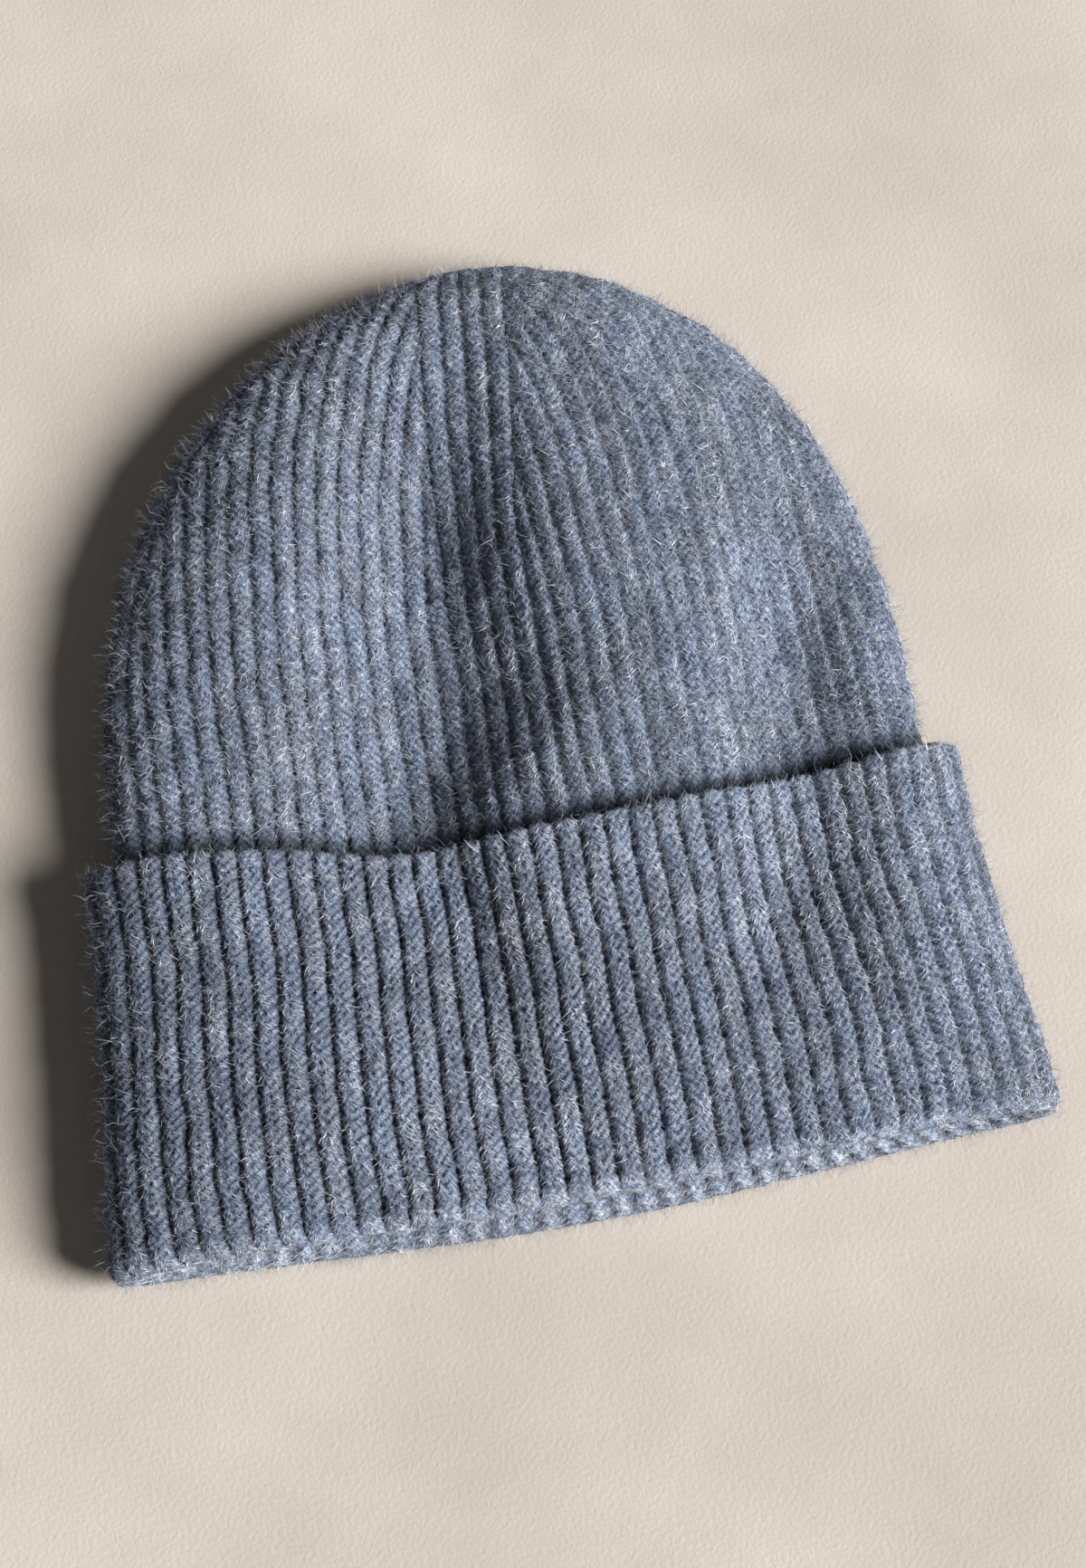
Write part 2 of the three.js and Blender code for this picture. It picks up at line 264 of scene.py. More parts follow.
def on_body(share, up, out, follows=1):
    """A point of the tube with its way round by length of cloth: 0 to 0.5 on top, the rest below."""
    share, up, out = np.broadcast_arrays(share % 1, up, out)
    row = np.clip(up / measured_up[1], 0, UP_STEPS - 1.001)
    column = np.clip(share * SHARE_STEPS, 0, SHARE_STEPS - 0.001)
    r, c = row.astype(int), column.astype(int)
    fr, fc = row - r, column - c
    low = turns[r, c] * (1 - fc) + turns[r, c + 1] * fc
    high = turns[r + 1, c] * (1 - fc) + turns[r + 1, c + 1] * fc
    return body_point(low * (1 - fr) + high * fr, up, out, follows)


# The rib. Spines of four ribs stand at the quarters, and the panels' ribs run out against them. A
# stitch is 2.35 mm high, and each of its two legs leans over the half of the rib that it fills.
RIBS, RIB_WIDTH = 76, 6
SPINE_RIBS, HALF_SPINE = 4, 2
PANEL_STARTS = np.array([8.4, 3.8, 7.5, 7.5])
CROWN_BASE = 98
STITCH, LEG_SLANT, LEG_ROUND = 2.35, 2.8, 2.2
LEG_LEAN = math.atan(RIB_WIDTH / (LEG_SLANT * STITCH))
LEG_MEAN, NOTCH_WIDTH, NOTCH_DEPTH = 0.6, 0.08, 0.25
STITCHES_UP, STITCHES_DOWN = 1, -1
WANDER, WANDER_LENGTH, HEAD_RADIUS = 0.05, 32, 70
FOLD_ENDS, FOLD_DROP_FRONT, FOLD_DROP_BACK = 5.3, 3.1, 4.3


def crown_share(line, up):
    """Where a rib's line lies, how wide the rib is there, and 0 where it has run out, or else 1."""
    in_quarter = RIBS / 4
    quarter = np.minimum(line * 4 // RIBS, 3).astype(int)
    in_top = quarter < 2
    top, under = top_length / 2, (whole_length - top_length) / 2

    def quarter_length(at):
        return np.where(in_top, np.interp(at, measured_up, top), np.interp(at, measured_up, under))

    length = quarter_length(up)
    full = quarter_length(CROWN_BASE) / in_quarter
    pitch = np.minimum(full, length / SPINE_RIBS)
    panel = length - SPINE_RIBS * pitch
    place = line - quarter * RIBS / 4
    from_end = in_quarter - place
    first = PANEL_STARTS[quarter]
    in_panel = panel * first / (in_quarter - SPINE_RIBS) + (place - HALF_SPINE - first) * pitch
    along = HALF_SPINE * pitch + np.clip(in_panel, 0, panel)
    along = np.where(place <= HALF_SPINE, place * pitch, along)
    along = np.where(from_end <= HALF_SPINE, length - from_end * pitch, along)
    in_spine = np.minimum(place, from_end) <= HALF_SPINE
    edge_room = np.minimum(in_panel, panel - in_panel) / full
    running_out = np.where(in_spine, 1, np.clip(edge_room / 0.5 + 0.15, 0, 1))
    return (quarter + along / length) / 4, pitch / full, running_out


def rib_columns(top_parts, under_parts):
    ribs = [
        rib + part for rib in range(RIBS) for part in (top_parts if rib < RIBS / 2 else under_parts)
    ]
    return np.array(ribs + [RIBS], float)


def from_crest(line, widening):
    return np.clip(np.abs(2 * (line % 1) - 1) * (1 + widening), 0, 1)


def stitch_legs(line, stitches, slant):
    """How far the stitches' legs stand out, with a notch between them down the rib's middle."""
    beside = np.abs(line % 1 - 0.5)
    leg = 1 - np.abs(2 * ((stitches + slant * beside) % 1) - 1) ** LEG_ROUND
    middle = np.exp(-((beside / NOTCH_WIDTH) ** 2))
    return (leg - LEG_MEAN) * (1 - 0.5 * middle) - NOTCH_DEPTH * middle


def waver(points, height, size, seed):
    """A smooth unevenness, about that high either way, whose swells are about as long as size."""
    rng = np.random.default_rng(seed)
    waves, total = 7, 0
    for _ in range(waves):
        way = rng.normal(size=3)
        way *= 2 * np.pi / size / np.linalg.norm(way) * rng.uniform(0.6, 1.5)
        total = total + np.sin(points @ way + rng.uniform(0, 2 * np.pi))
    return height * (total / (waves / 2))


def meander(share, mm, seed):
    """Ribs wander sideways by up to a twentieth of their width."""
    turn = share * 2 * np.pi
    round_head = HEAD_RADIUS * np.cos(turn), HEAD_RADIUS * np.sin(turn)
    spots = np.stack(np.broadcast_arrays(*round_head, mm), -1)
    return waver(spots, WANDER / RIBS, WANDER_LENGTH, seed)


def fold_at(share):
    """The fold's height. It bows out in the middle and lies 2 mm higher at the right end."""
    front = np.sin(share * 2 * np.pi)
    across = np.where(share < 0.5, 1 - 4 * share, 4 * share - 3)
    return FOLD_ENDS + across - np.where(front > 0, FOLD_DROP_FRONT, FOLD_DROP_BACK) * front**2


def hem_at(share):
    across = np.where(share < 0.5, 1 - 4 * share, 4 * share - 3)
    side = np.where(across < 0, HEM_HEIGHTS[0], HEM_HEIGHTS[-1])
    back = side + (HEM_BACK - side) * np.sin(share * 2 * np.pi) ** 2
    return np.where(share < 0.5, smooth_curve(HEM_ACROSS, HEM_HEIGHTS, across), back)


# The crown's own knit: depths and heights in mm, the mesh's lines across a rib and rows in a stitch.
# Unevenness is given as its height, the length of its swells and a seed.
CROWN_GROOVE, GROOVE_SHARPNESS, RUN_OUT_DEPTH = 1.0, 2.1, 0.75
CROWN_LEG, CROWN_LEG_SWELL = 0.8, 0.14
CROWN_DRIFT, CROWN_EDGES, CROWN_LEGS = (0.28, 11, 31), (0.14, 5, 4), (0.35, 6, 33)
CROWN_PUFFS, CROWN_FLECKS = (0.32, 13, 3), (0.26, 2.8, 21)
# Painted shadow of the hem: the crown's colour is darkened in full up to this far above the cuff's
# free edge, then fades out over the next span.
HEM_SHADOW_FROM, HEM_SHADOW_FADE, HEM_PAINTED_SHADOW = 3.2, 4, 1.6
COVERED_TO, COVER_FADE = 84, 4
FOOT_OFF_FOLD, FOOT_HEIGHT, LOW_LINING, UNDER_CUFF = 4.5, 9, 30, (38, 70)
TOP_SEVEN, UNDER_FOUR = [0, 0.12, 0.27, 0.42, 0.58, 0.73, 0.88], [0, 0.2, 0.5, 0.8]
CROWN_ROWS_FROM, CROWN_ROWS_IN_STITCH, LINING_ROWS, LINING_FOOT = 80, 3, 14, 60
LINING_SHADE, SEAM_GAP, SHORTEST_EDGE = 0.3, 3e-6, 1e-6

crown_lines = rib_columns(TOP_SEVEN, UNDER_FOUR)
fine_up = np.linspace(CROWN_ROWS_FROM, HAT_LENGTH - 0.02, 3000)
middle_steps = np.linalg.norm(np.diff(on_body(0.3, fine_up, 0), axis=0), axis=1)
fine_length = np.concatenate([[0], np.cumsum(middle_steps)])
row_lengths = np.arange(1, fine_length[-1], STITCH / CROWN_ROWS_IN_STITCH)
outer_rows = np.interp(row_lengths, fine_length, fine_up)[:-1]
lining_tip = HAT_LENGTH - WALL
lining_shares = (np.arange(LINING_ROWS) / (LINING_ROWS - 1)) ** 2
lining_rows = lining_tip - (lining_tip - LINING_FOOT) * lining_shares


def crown_points():
    line, outer = crown_lines[None, :], outer_rows[:, None]
    share, narrow, running_out = crown_share(line, outer)
    plain = on_body(share, outer, 0)

    # Stitches drift a little up and down, and each leg pushes its rib's edge over the groove.
    stitches = np.interp(outer, fine_up, fine_length) / STITCH + waver(plain, *CROWN_DRIFT)
    legs = stitch_legs(line, stitches, LEG_SLANT)
    t = from_crest(line, waver(plain, *CROWN_EDGES) - CROWN_LEG_SWELL * legs)
    depth = t**GROOVE_SHARPNESS * running_out + (1 - running_out) * RUN_OUT_DEPTH
    # The crown just above the cuff's free edge gets painted shadow of the hem.
    hem_shadow = np.clip(1 - (outer - hem_at(share) - HEM_SHADOW_FROM) / HEM_SHADOW_FADE, 0, 1)
    tufts = (CROWN_LEG + waver(plain, *CROWN_LEGS)) * legs + waver(plain, *CROWN_PUFFS)
    tufts += waver(plain, *CROWN_FLECKS)
    out = -CROWN_GROOVE * depth * narrow + tufts * np.minimum(1, narrow) * running_out
    shown = np.clip((outer - COVERED_TO) / COVER_FADE, 0, 1)
    aside = meander(share, outer, 8) * np.minimum(1, narrow)
    outside_points = on_body(share + aside, outer, out * shown)

    # The skin goes from the hollow's tip down the lining, round the foot and up under the cuff.
    even = line / RIBS
    foot = fold_at(even) + FOOT_OFF_FOLD
    lining = [on_body(even, up, -WALL) for up in (*lining_rows[1:], LOW_LINING, foot)]
    hidden = [on_body(even, up, 0) for up in (foot, *UNDER_CUFF)]
    inner_tip = np.broadcast_to(body_point(0, lining_tip, -WALL), foot.shape + (3,))
    outer_tip = np.broadcast_to(body_point(0, HAT_LENGTH, 0), foot.shape + (3,))
    within = [inner_tip, *lining, *hidden]
    within_up = [*lining_rows, LOW_LINING, FOOT_HEIGHT, FOOT_HEIGHT, *UNDER_CUFF]
    within_stitches = np.array(within_up)[:, None] / STITCH - 34 + 0 * line

    points = np.concatenate([*within, *outside_points[:, None], outer_tip], 0)
    lines = np.repeat(line, len(points), 0)
    rest = lines[: len(within)]
    counted = np.concatenate([within_stitches, stitches, stitches[-1:] + 0.3], 0)
    # The colour darkens with these values as painted shade: on the lining, down the grooves and in
    # the hem's painted shadow.
    depths = [np.full_like(rest, LINING_SHADE), np.clip(depth, 0, 1) + HEM_PAINTED_SHADOW * hem_shadow, depth[-1:]]
    outside = [np.zeros_like(rest), shown + 0 * line, np.ones_like(line)]
    return points, lines, counted, np.concatenate(depths, 0), np.concatenate(outside, 0)


def read_values(items, word, width=1, kind=float):
    values = np.empty(len(items) * width, kind)
    items.foreach_get(word, values)
    return values.reshape(-1, width) if width > 1 else values


def add_values(mesh, word, values):
    layer = mesh.attributes.new(word, "FLOAT", "POINT")
    layer.data.foreach_set("value", values.astype(np.float32))


def knit_piece(name, points, line, stitches, depth, outside):
    """Lays a grid on the points, moved to the frame in metres, and closes it where they meet."""
    rows, columns = line.shape
    bm = bmesh.new()
    bmesh.ops.create_grid(bm, x_segments=columns - 1, y_segments=rows - 1, size=1)
    piece = add_mesh(name, bm)
    mesh = piece.data
    flat = read_values(mesh.vertices, "co", 3, np.float32)
    c = np.rint((flat[:, 0] + 1) / 2 * (columns - 1)).astype(int)
    r = np.rint((flat[:, 1] + 1) / 2 * (rows - 1)).astype(int)
    placed = ((points[r, c] - CENTRE) / 1000).astype(np.float32)
    mesh.vertices.foreach_set("co", placed.ravel())
    corners = read_values(mesh.loops, "vertex_index", kind=np.int32)
    uv = np.stack([line[r, c], stitches[r, c]], -1)[corners]
    mesh.uv_layers.new(name="knit").data.foreach_set("uv", uv.astype(np.float32).ravel())
    add_values(mesh, "depth", depth[r, c])
    add_values(mesh, "outside", outside[r, c])
    bm = bmesh.new()
    bm.from_mesh(mesh)
    bmesh.ops.remove_doubles(bm, verts=bm.verts, dist=SEAM_GAP)
    bmesh.ops.dissolve_degenerate(bm, edges=bm.edges, dist=SHORTEST_EDGE)
    bmesh.ops.recalc_face_normals(bm, faces=bm.faces)
    bm.to_mesh(mesh)
    bm.free()
    mesh.polygons.foreach_set("use_smooth", np.ones(len(mesh.polygons), bool))
    return piece


# The wool's colour: fine strands along each leg, flecks and patches of the melange, which is here
# greyer and there bluer, with painted shade between the legs and down in the grooves and painted
# light on the legs.
WARM, COOL = (1.05, 1.0, 0.94), (0.95, 1.0, 1.06)
COOL_SHEEN = (0.72, 0.8, 0.95, 1)
STRANDS_ACROSS, STRANDS_ALONG, STRANDS_APART = 3.2, 0.75, 2.3
FLECK_SCALE, PATCH_SCALE, FLECKS_LIE = 260, 70, (1, 0.55, 1)
STRAND_PART, FLECK_PART, PATCH_PART = 0.62, 0.2, 0.18
PAINTED_SHADE_BETWEEN_LEGS, PAINTED_LIGHT_ON_LEGS = 0.5, 0.68
LEG_BUMP, STRAND_BUMP, FLECK_BUMP = 0.4, 0.9, 0.6
BUMP_STRENGTH, YARN_HEIGHT = 0.8, 0.0006


def read_in(material, word):
    return add_node(material, "ShaderNodeAttribute", {"attribute_name": word}).outputs["Fac"]


def wool(name, slant, groove_painted_shade, dark, middle, pale):
    material = new_material(name)

    def maths(operation, *values):
        inputs = {f"_{n}": value for n, value in enumerate(values)}
        return add_node(material, "ShaderNodeMath", {"operation": operation}, **inputs).outputs[0]

    def times(a, b):
        return maths("MULTIPLY", a, b)

    def plus(a, b):
        return maths("ADD", a, b)

    def minus(a, b):
        return maths("SUBTRACT", a, b)

    def vector_maths(operation, **inputs):
        node = add_node(material, "ShaderNodeVectorMath", {"operation": operation}, **inputs)
        return node.outputs["Vector"]

    uv = add_node(material, "ShaderNodeUVMap", {"uv_map": "knit"}).outputs["UV"]
    split = add_node(material, "ShaderNodeSeparateXYZ", Vector=uv).outputs
    beside = maths("ABSOLUTE", minus(maths("FRACT", split["X"]), 0.5))
    x, y = times(beside, RIB_WIDTH), times(split["Y"], STITCH)
    lean = LEG_LEAN * slant
    along = plus(times(x, math.sin(lean)), times(y, math.cos(lean)))
    across = minus(times(x, math.cos(lean)), times(y, math.sin(lean)))
    on_yarn = add_node(
        material,
        "ShaderNodeCombineXYZ",
        X=times(across, STRANDS_ACROSS),
        Y=times(along, STRANDS_ALONG),
        Z=times(split["X"], STRANDS_APART),
    ).outputs["Vector"]
    where = add_node(material, "ShaderNodeTexCoord").outputs["Object"]
    where = add_node(material, "ShaderNodeMapping", Vector=where, Scale=FLECKS_LIE).outputs["Vector"]
    strands = noise(material, on_yarn, 1, 4, 0.65)
    flecks = noise(material, where, FLECK_SCALE, 3, 0.6)
    patches = noise(material, where, PATCH_SCALE, 2, 0.5)

    blend = plus(
        times(strands, STRAND_PART), plus(times(flecks, FLECK_PART), times(patches, PATCH_PART))
    )
    wool_colour = colour_steps(material, blend, [(0.38, dark), (0.5, middle), (0.62, pale)])
    grey_or_blue = colour_steps(material, patches, [(0.4, WARM), (0.6, COOL)])
    phase = plus(split["Y"], times(beside, LEG_SLANT * slant))
    from_middle = maths("ABSOLUTE", minus(maths("FRACT", phase), 0.5))
    leg = minus(1, maths("POWER", times(from_middle, 2), LEG_ROUND))
    # Painted shade: the colour darkens down in the grooves and between the legs, and painted light
    # lightens it on the legs.
    shade_in_groove = times(read_in(material, "depth"), groove_painted_shade)
    shade = times(minus(1, shade_in_groove), plus(PAINTED_SHADE_BETWEEN_LEGS, times(leg, PAINTED_LIGHT_ON_LEGS)))
    tinted = vector_maths("MULTIPLY", _0=wool_colour, _1=grey_or_blue)
    height = plus(times(leg, LEG_BUMP), plus(times(strands, STRAND_BUMP), times(flecks, FLECK_BUMP)))
    finish_material(
        material,
        {
            "Base Color": vector_maths("SCALE", Vector=tinted, Scale=shade),
            "Normal": bumps(material, height, BUMP_STRENGTH, YARN_HEIGHT),
        },
        {
            "Roughness": 0.95,
            "Specular IOR Level": 0.1,
            "Sheen Weight": 0.25,
            "Sheen Roughness": 0.6,
            "Sheen Tint": COOL_SHEEN,
        },
    )
    return material


crown_wool = wool(
    "crown_wool",
    STITCHES_UP,
    groove_painted_shade=0.4,
    dark=(0.042, 0.057, 0.104),
    middle=(0.136, 0.177, 0.265),
    pale=(0.38, 0.43, 0.52),
)
crown = knit_piece("crown_knit", *crown_points())
crown.data.materials.append(crown_wool)
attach(crown, "root")
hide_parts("crown")

# Cuff. The hem is turned up outside the crown as a band of the same rib, seen from its other side,
# so its stitches point down. It ends in a soft rounded edge, and the fold below it is a thick roll.
CLEARANCE, FOLD_SEAT, CUFF_DEPTH, BAND_LENGTH = 0.6, 4.2, 90, 92
HEM_STANDS_OFF, HEM_BRIDGES, HEM_NOTCHES = 3.2, 0.25, 1.1
WELT_DEPTH, WELT_RELIEF = 2.7, 0.3
HALF_WALL = WALL / 2
FOLD_MIDDLE, FOLD_RADIUS = CLEARANCE / 2, WALL + CLEARANCE / 2
DEGREES_IN_RADIAN = 57.3

# The cuff's own knit, given as the crown's is. Grooves fade with the angle round the fold.
CUFF_GROOVE, CUFF_LEG, CUFF_LEG_SWELL = 2.2, 0.85, 0.16
FOLD_GROOVE, FOLD_LEG = 2.4, 0.8
CUFF_DRIFT, CUFF_EDGES, CUFF_LEGS = (0.65, 11, 32), (0.1, 5, 6), (0.35, 6, 34)
CUFF_PUFFS, CUFF_FLECKS = (0.3, 14, 5), (0.14, 2.8, 22)
DRIFT_ENDS, LOW_END_FLATTENS = [74, 88], [78, 92]
FADE_FRONT = [-90, -30, 0, 35, 80], [0, 0.08, 0.12, 0.35, 0.8]
FADE_BACK = [-90, -70, 0, 80], [0.5, 0.7, 0.8, 1]
TOP_ELEVEN = [0, 0.07, 0.16, 0.26, 0.36, 0.45, 0.55, 0.64, 0.74, 0.84, 0.93]
CUFF_ROWS_IN_STITCH, HIDDEN_SHADE, EDGE_SHADE = 3.2, 0.4, 0.2
INNER_CLIMBS, EDGE_ANGLES = (0, 0.2, 0.4, 0.6, 0.8, 0.93), (-90, -60, -30)
FOLD_ANGLES = (80, 70, 60, 50, 40, 30, 20, 10, 0, -15, -30, -45, -60, -75, -90)
cuff_lines = rib_columns(TOP_ELEVEN, UNDER_FOUR)


def round_groove(t):
    return 1 - (1 - t**2.6) ** 0.5


def cuff_points():
    line = cuff_lines
    share = line / RIBS
    fold, hem = fold_at(share), hem_at(share)
    seat = fold + FOLD_SEAT
    height = hem - seat
    stands = np.clip(1 + 2.5 * np.sin(share * 2 * np.pi), 0, 1)
    rows = []

    def lay(up, out, follows, mm, depth, shown, aside=0):
        told = np.broadcast_arrays(line, mm / STITCH, depth, shown)
        rows.append((on_body(share + aside, up, out, follows), *told))

    def band(climb, drop, out):
        off_crown = CLEARANCE + HEM_STANDS_OFF * climb**3 * stands
        return seat + climb * height - drop, off_crown + out, 1 - HEM_BRIDGES * climb

    # The band's inner face goes up from the fold, and the free edge turns over it.
    for climb in INNER_CLIMBS:
        lay(*band(climb, 2 * climb, 0), -climb * CUFF_DEPTH - 12, HIDDEN_SHADE, 0)
    for angle in np.radians(EDGE_ANGLES):
        drop, out = HALF_WALL * (1 - math.cos(angle)), HALF_WALL * (1 + math.sin(angle))
        lay(*band(1, drop, out), -100, EDGE_SHADE, 0.6)

    # The ribs come down the outer face, flatter on the welt of the free edge and notched over it.
    band_rows = np.arange(0, BAND_LENGTH, STITCH / CUFF_ROWS_IN_STITCH)
    for down in band_rows / band_rows[-1]:
        mm = down * height
        welt = WELT_RELIEF + (1 - WELT_RELIEF) * np.clip(mm / WELT_DEPTH, 0, 1) ** 1.2
        near = np.clip(mm / HALF_WALL, 0, 1)
        rounding = HALF_WALL * (1 - np.sqrt(1 - (1 - near) ** 2))
        plain = on_body(share, hem - mm, 4)
        uneven = waver(plain, *CUFF_DRIFT) * np.interp(mm, DRIFT_ENDS, [1, 0])
        legs = stitch_legs(line, (uneven - mm) / STITCH, -LEG_SLANT)
        groove = round_groove(from_crest(line, waver(plain, *CUFF_EDGES) - CUFF_LEG_SWELL * legs))
        tufts = (CUFF_LEG + waver(plain, *CUFF_LEGS)) * legs + waver(plain, *CUFF_PUFFS)
        tufts += waver(plain, *CUFF_FLECKS)
        relief = (CUFF_GROOVE * groove - tufts) * welt * np.interp(mm, LOW_END_FLATTENS, [1, 0.8])
        up, out, follows = band(1 - down, HEM_NOTCHES * groove * (1 - near), WALL)
        # Painted shade down the grooves, spread wider than the grooves' depth.
        depth = np.clip(groove * welt, 0, 1) ** 0.7
        lay(up, out - relief - rounding, follows, uneven - mm, depth, 1, meander(share, mm, 9))

    # Round the fold the grooves fade out in front and stay open at the back, on the table.
    for degrees in FOLD_ANGLES:
        angle = math.radians(degrees)
        fade = np.where(share < 0.5, np.interp(degrees, *FADE_FRONT), np.interp(degrees, *FADE_BACK))
        rolled = (degrees - 90) * FOLD_RADIUS / DEGREES_IN_RADIAN
        legs = stitch_legs(line, rolled / STITCH - 40, -LEG_SLANT)
        mm = BAND_LENGTH - rolled
        groove = round_groove(from_crest(line, -CUFF_LEG_SWELL * legs))
        relief = (FOLD_GROOVE * groove - FOLD_LEG * legs) * fade
        up = fold + FOLD_RADIUS * (1 - math.cos(angle))
        out = FOLD_MIDDLE + FOLD_RADIUS * math.sin(angle) - relief
        # Round the fold the colour is lightened as painted light: in front the more the grooves
        # fade, at the back by a fixed amount. More fibres grow there too.
        depth = np.clip(groove * fade, 0, 1) - np.where(share < 0.5, 0.4 * (1 - fade), 0.5)
        lay(up, out, 1, -mm, depth, float(degrees > -80), meander(share, mm, 9))
    lay(seat, -WALL, 1, -110, HIDDEN_SHADE, 0)
    lay(seat, 0, 1, -112, HIDDEN_SHADE, 0)
    lay(*band(0, 0, 0), -12, HIDDEN_SHADE, 0)
    return [np.array(block) for block in zip(*rows)]


cuff_wool = wool(
    "cuff_wool",
    STITCHES_DOWN,
    groove_painted_shade=0.88,
    dark=(0.04, 0.055, 0.1),
    middle=(0.13, 0.17, 0.255),
    pale=(0.37, 0.415, 0.5),
)
cuff = knit_piece("cuff_knit", *cuff_points())
cuff.data.materials.append(cuff_wool)
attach(cuff, "root")
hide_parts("cuff")

# Loose fibres. The felted wool's nap is short fibres that lie along the stitches' legs all over the
# cloth, and its haze is finer curled ones that stand off it, most of all round the hat's rim. Each
# fibre is a sliver that narrows to its tip and grows out of the cloth. Sizes are in metres.
MOST_RISE, OFF_TABLE, ROOTS_LIE = 0.0038, 0.0002, (-0.0001, 0.00008)
LENGTHS_VARY, ROLLS_VARY, WIDTHS = 0.4, 0.45, (0.7, 1.3)
SHARE_BELOW, FEWEST_IN_GROOVES, LEG_PULL = 0.22, 0.04, 1.2
FIBRE_TAPER, LOOP_SHARE, LOOP_TURN = 0.5, 0.7, 6.3

# A fibre's tint runs from dark at 0 to light. Swells are given as their height and length in mm.
MEAN_TINT, LIGHTEST, STRAW, STRAW_SHARE = 0.49, 0.95, 1, 0.003
# The leg and groove tints are painted light and shade: fibres lighter on the stitches' legs and
# darker between them and in the grooves.
TINTS_VARY, CLOUD_TINT, LEG_PAINTED_LIGHT_AND_SHADE, HAZE_TINT, PAINTED_SHADE_IN_GROOVES = 0.15, 0.15, 0.5, 0.12, 0.28
MELANGE_STRETCH, CLOUDS, BLOTS, YARNS = (1000, 450, 1000), (1, 8), (0.7, 2.5), (0.06, 1.1)
MEAN_HUE, HUES_VARY, HUE_SWELLS = 0.5, 0.35, (0.25, 5)
NAP = {"width": 0.00022, "joints": 1, "rim": 0}
HAZE = {"width": 0.00006, "joints": 2, "spread": 1.6, "lift": 1.4, "curl": 0.35, "rim": 11}


def fibre_wool(name, tints):
    material = new_material(name)
    colour = add_node(
        material,
        "ShaderNodeVectorMath",
        {"operation": "MULTIPLY"},
        _0=colour_steps(material, read_in(material, "tint"), tints),
        _1=colour_steps(material, read_in(material, "hue"), [(0, WARM), (1, COOL)]),
    ).outputs["Vector"]
    finish_material(
        material,
        {"Base Color": colour},
        {"Roughness": 0.9, "Specular IOR Level": 0.12, "Sheen Weight": 0.15},
    )
    return material


def read_cloth(piece):
    """For the cloth's triangles, the corners' places, normals, UVs, groove depths with their painted
    shade, and which show.
    """
    mesh = piece.data
    mesh.calc_loop_triangles()
    corners = read_values(mesh.loop_triangles, "vertices", 3, np.int32)
    loops = read_values(mesh.loop_triangles, "loops", 3, np.int32)
    spots = read_values(mesh.vertices, "co", 3)
    normals = read_values(mesh.vertices, "normal", 3)
    uv = read_values(mesh.uv_layers["knit"].data, "uv", 2)
    depth = read_values(mesh.attributes["depth"].data, "value")
    outside = read_values(mesh.attributes["outside"].data, "value")
    return spots[corners], normals[corners], uv[loops], depth[corners], outside[corners].min(1)


def fibre_roots(cloth, count, rng, slant, sparse, rim):
    """Where fibres grow: seldom below and deep in the grooves, often on the legs and at the rim."""
    p, normals, uv, depth, outside = read_cloth(cloth)
    e1, e2 = p[:, 1] - p[:, 0], p[:, 2] - p[:, 0]
    face = np.cross(e1, e2)
    area = np.linalg.norm(face, axis=1)
    face /= np.maximum(area, 1e-12)[:, None]
    steep = np.clip(1 - np.abs(face[:, 2]) / 0.6, 0, 1)
    above = np.clip((face[:, 2] + 0.6) / 0.4, 0, 1)
    share = (SHARE_BELOW + (1 - SHARE_BELOW) * above) * (1 + rim * steep)
    legs = stitch_legs(uv[:, :, 0].mean(1), uv[:, :, 1].mean(1), LEG_SLANT * slant)
    on_ribs = np.clip(1 + FEWEST_IN_GROOVES - depth.mean(1), FEWEST_IN_GROOVES, 2) ** sparse
    chance = area * share * outside * on_ribs * np.maximum(0.1, 1 + LEG_PULL * legs)
    pick = rng.choice(len(area), count, p=chance / chance.sum())
    a, b = rng.random(count), rng.random(count)
    over = a + b > 1
    a[over], b[over] = 1 - a[over], 1 - b[over]
    weights = np.stack([1 - a - b, a, b], -1)
    root = (p[pick] * weights[:, :, None]).sum(1)
    normal = (normals[pick] * weights[:, :, None]).sum(1)
    normal /= np.linalg.norm(normal, axis=1)[:, None]
    line, stitches = (uv[pick] * weights[:, :, None]).sum(1).T

    # The wale is the way up the rib there, found from how the knit's UV lies on the triangle.
    d1, d2 = uv[pick, 1] - uv[pick, 0], uv[pick, 2] - uv[pick, 0]
    twist = d1[:, 0] * d2[:, 1] - d2[:, 0] * d1[:, 1]
    twist = np.where(np.abs(twist) < 1e-9, 1e-9, twist)[:, None]
    wale = (e2[pick] * d1[:, :1] - e1[pick] * d2[:, :1]) / twist
    wale -= normal * (wale * normal).sum(1)[:, None]
    wale /= np.maximum(np.linalg.norm(wale, axis=1), 1e-9)[:, None]
    aside = np.cross(wale, normal)
    rightward = (e1[pick] * d2[:, 1:] - e2[pick] * d1[:, 1:]) / twist
    aside *= np.sign((aside * rightward).sum(1))[:, None]
    return root, normal, wale, aside, line, stitches, (depth[pick] * weights).sum(1), steep[pick]


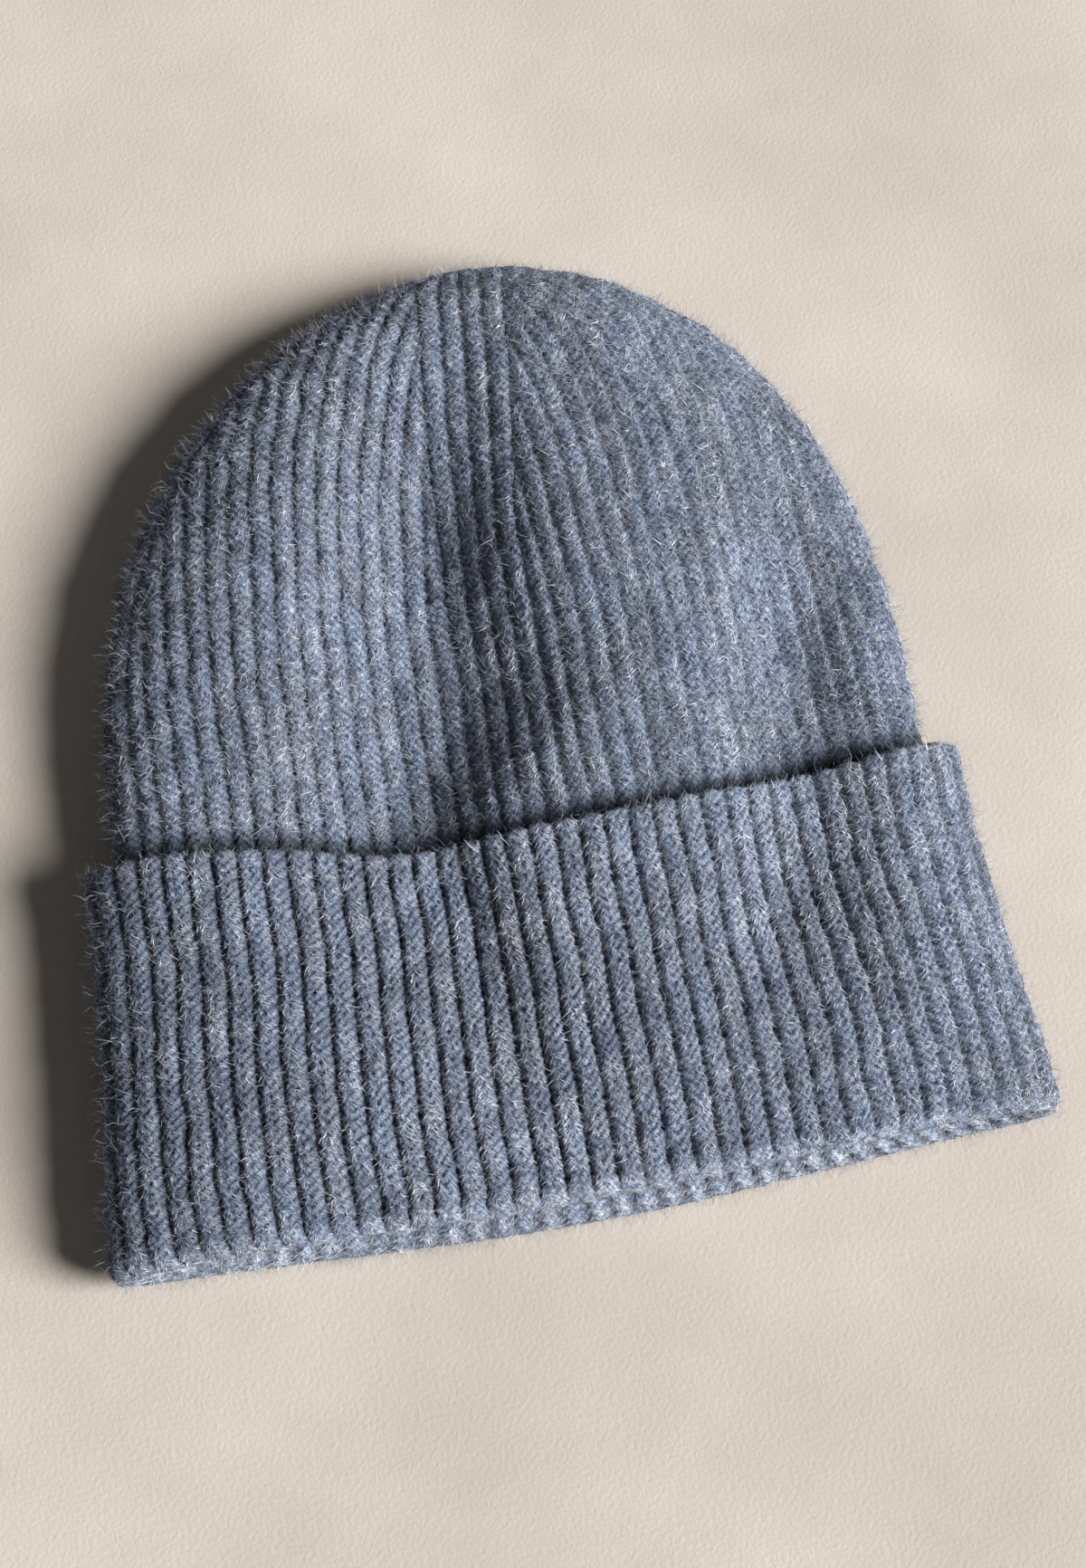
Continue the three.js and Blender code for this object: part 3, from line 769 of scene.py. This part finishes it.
def slivers(name, count, joints):
    """Copies of one flat sliver, and for each point its sliver, how far along and on which side."""
    bm = bmesh.new()
    rows = [[bm.verts.new((2 * n, side, 0)) for side in (1, -1)] for n in range(joints)]
    tip = bm.verts.new((2 * joints, 0, 0))
    for one, two in zip(rows, rows[1:]):
        bm.faces.new((one[0], one[1], two[1], two[0]))
    bm.faces.new((rows[-1][0], rows[-1][1], tip))
    piece = add_mesh(name, bm)
    spacing = 2 * joints + 2
    copies = piece.modifiers.new("copies", "ARRAY")
    copies.count = count
    copies.use_relative_offset = False
    copies.use_constant_offset = True
    copies.constant_offset_displace = (spacing, 0, 0)
    copied = piece.evaluated_get(bpy.context.evaluated_depsgraph_get())
    made = bpy.data.meshes.new_from_object(copied)
    piece.modifiers.clear()
    piece.data = made
    made.name = name
    laid = read_values(made.vertices, "co", 3, np.float32)
    which = np.floor((laid[:, 0] + 0.5) / spacing).astype(int)
    along = ((laid[:, 0] - which * spacing) / (2 * joints))[:, None]
    return piece, which, along, laid[:, 1:2]


def fibres(name, cloth, slant, count, seed, length, width, joints, spread, lift, curl, sparse, rim):
    rng = np.random.default_rng(seed)
    root, normal, wale, aside, line, stitches, depth, steep = fibre_roots(
        cloth, count, rng, slant, sparse, rim
    )

    # Each lies along its leg of the stitch or across it, rises off the cloth and curls on its way.
    leg = np.where(line % 1 > 0.5, 1, -1)
    angle = leg * slant * LEG_LEAN + rng.normal(size=count) * spread
    angle += math.pi * (rng.random(count) < 0.5)
    way = wale * np.cos(angle)[:, None] + aside * np.sin(angle)[:, None]
    cross = np.cross(normal, way)
    long = length * rng.lognormal(0, LENGTHS_VARY, count)
    rise = rng.uniform(0, lift, count) ** 1.5 * long * (1 + steep)
    rise = np.minimum(rise, MOST_RISE)
    bend = rng.normal(size=count) * curl * long
    loop = rng.normal(size=count) * curl * LOOP_SHARE * long
    roll = rng.normal(size=count) * ROLLS_VARY
    half = cross * np.cos(roll)[:, None] + normal * np.sin(roll)[:, None]
    half *= (width / 2 * rng.uniform(*WIDTHS, count))[:, None]
    start = root + normal * rng.uniform(*ROOTS_LIE, count)[:, None]

    piece, which, along, side = slivers(name, count, joints)
    swing = bend[which][:, None] * 4 * along * (1 - along)
    swing += loop[which][:, None] * np.sin(LOOP_TURN * along)
    placed = start[which] + way[which] * long[which][:, None] * along
    placed += normal[which] * (rise[which][:, None] * along) + cross[which] * swing
    placed += half[which] * (side * (1 - FIBRE_TAPER * along))
    placed[:, 2] = np.maximum(placed[:, 2], OFF_TABLE)
    piece.data.vertices.foreach_set("co", placed.astype(np.float32).ravel())

    # The tint follows the melange and the yarn, with painted light on the legs and painted shade
    # between them and down in the grooves. A few are straw-coloured.
    stretched = root * MELANGE_STRETCH
    cloud = waver(stretched, *CLOUDS, seed + 7) + waver(stretched, *BLOTS, seed + 17)
    legs = stitch_legs(line, stitches, LEG_SLANT * slant)
    lean = LEG_LEAN * slant
    x, y = np.abs(line % 1 - 0.5) * RIB_WIDTH, stitches * STITCH
    over, on = x * math.cos(lean) - y * math.sin(lean), x * math.sin(lean) + y * math.cos(lean)
    yarn = waver(np.stack([over, 0.3 * on, 1.7 * np.floor(line * 2)], -1), *YARNS, seed + 37)
    tint = MEAN_TINT + TINTS_VARY * rng.normal(size=count) + CLOUD_TINT * cloud + yarn
    tint += LEG_PAINTED_LIGHT_AND_SHADE * legs
    tint += HAZE_TINT * (joints > 1) - PAINTED_SHADE_IN_GROOVES * sparse * depth
    tint = np.where(rng.random(count) < STRAW_SHARE, STRAW, np.clip(tint, 0, LIGHTEST))
    hue = MEAN_HUE + waver(stretched, *HUE_SWELLS, seed + 27) + HUES_VARY * rng.normal(size=count)
    add_values(piece.data, "tint", tint[which])
    add_values(piece.data, "hue", np.clip(hue, 0, 1)[which])
    return piece


loose_wool = fibre_wool(
    "loose_wool",
    [
        (0.0, (0.015, 0.022, 0.045)),
        (0.3, (0.07, 0.092, 0.151)),
        (0.52, (0.175, 0.21, 0.283)),
        (0.72, (0.325, 0.36, 0.437)),
        (LIGHTEST, (0.6, 0.64, 0.7)),
        (STRAW, (0.34, 0.27, 0.2)),
    ],
)
CROWN_NAP = {**NAP, "length": 0.0013, "spread": 0.34, "lift": 0.4, "curl": 0.14, "sparse": 1.1}
CROWN_HAZE = {**HAZE, "length": 0.002, "sparse": 0.3}
CUFF_NAP = {**NAP, "length": 0.0012, "spread": 0.2, "lift": 0.25, "curl": 0.12, "sparse": 1.3}
CUFF_HAZE = {**HAZE, "length": 0.0018, "sparse": 0.4}
for name, cloth, slot, slant, count, seed, shape in (
    ("crown_nap", crown, "crown_wool", STITCHES_UP, 190000, 11, CROWN_NAP),
    ("crown_haze", crown, "crown_wool", STITCHES_UP, 46000, 12, CROWN_HAZE),
    ("cuff_nap", cuff, "cuff_wool", STITCHES_DOWN, 190000, 13, CUFF_NAP),
    ("cuff_haze", cuff, "cuff_wool", STITCHES_DOWN, 33000, 14, CUFF_HAZE),
):
    piece = fibres(name, cloth, slant, count, seed, **shape)
    piece.data.materials.append(loose_wool)
    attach(piece, "root")
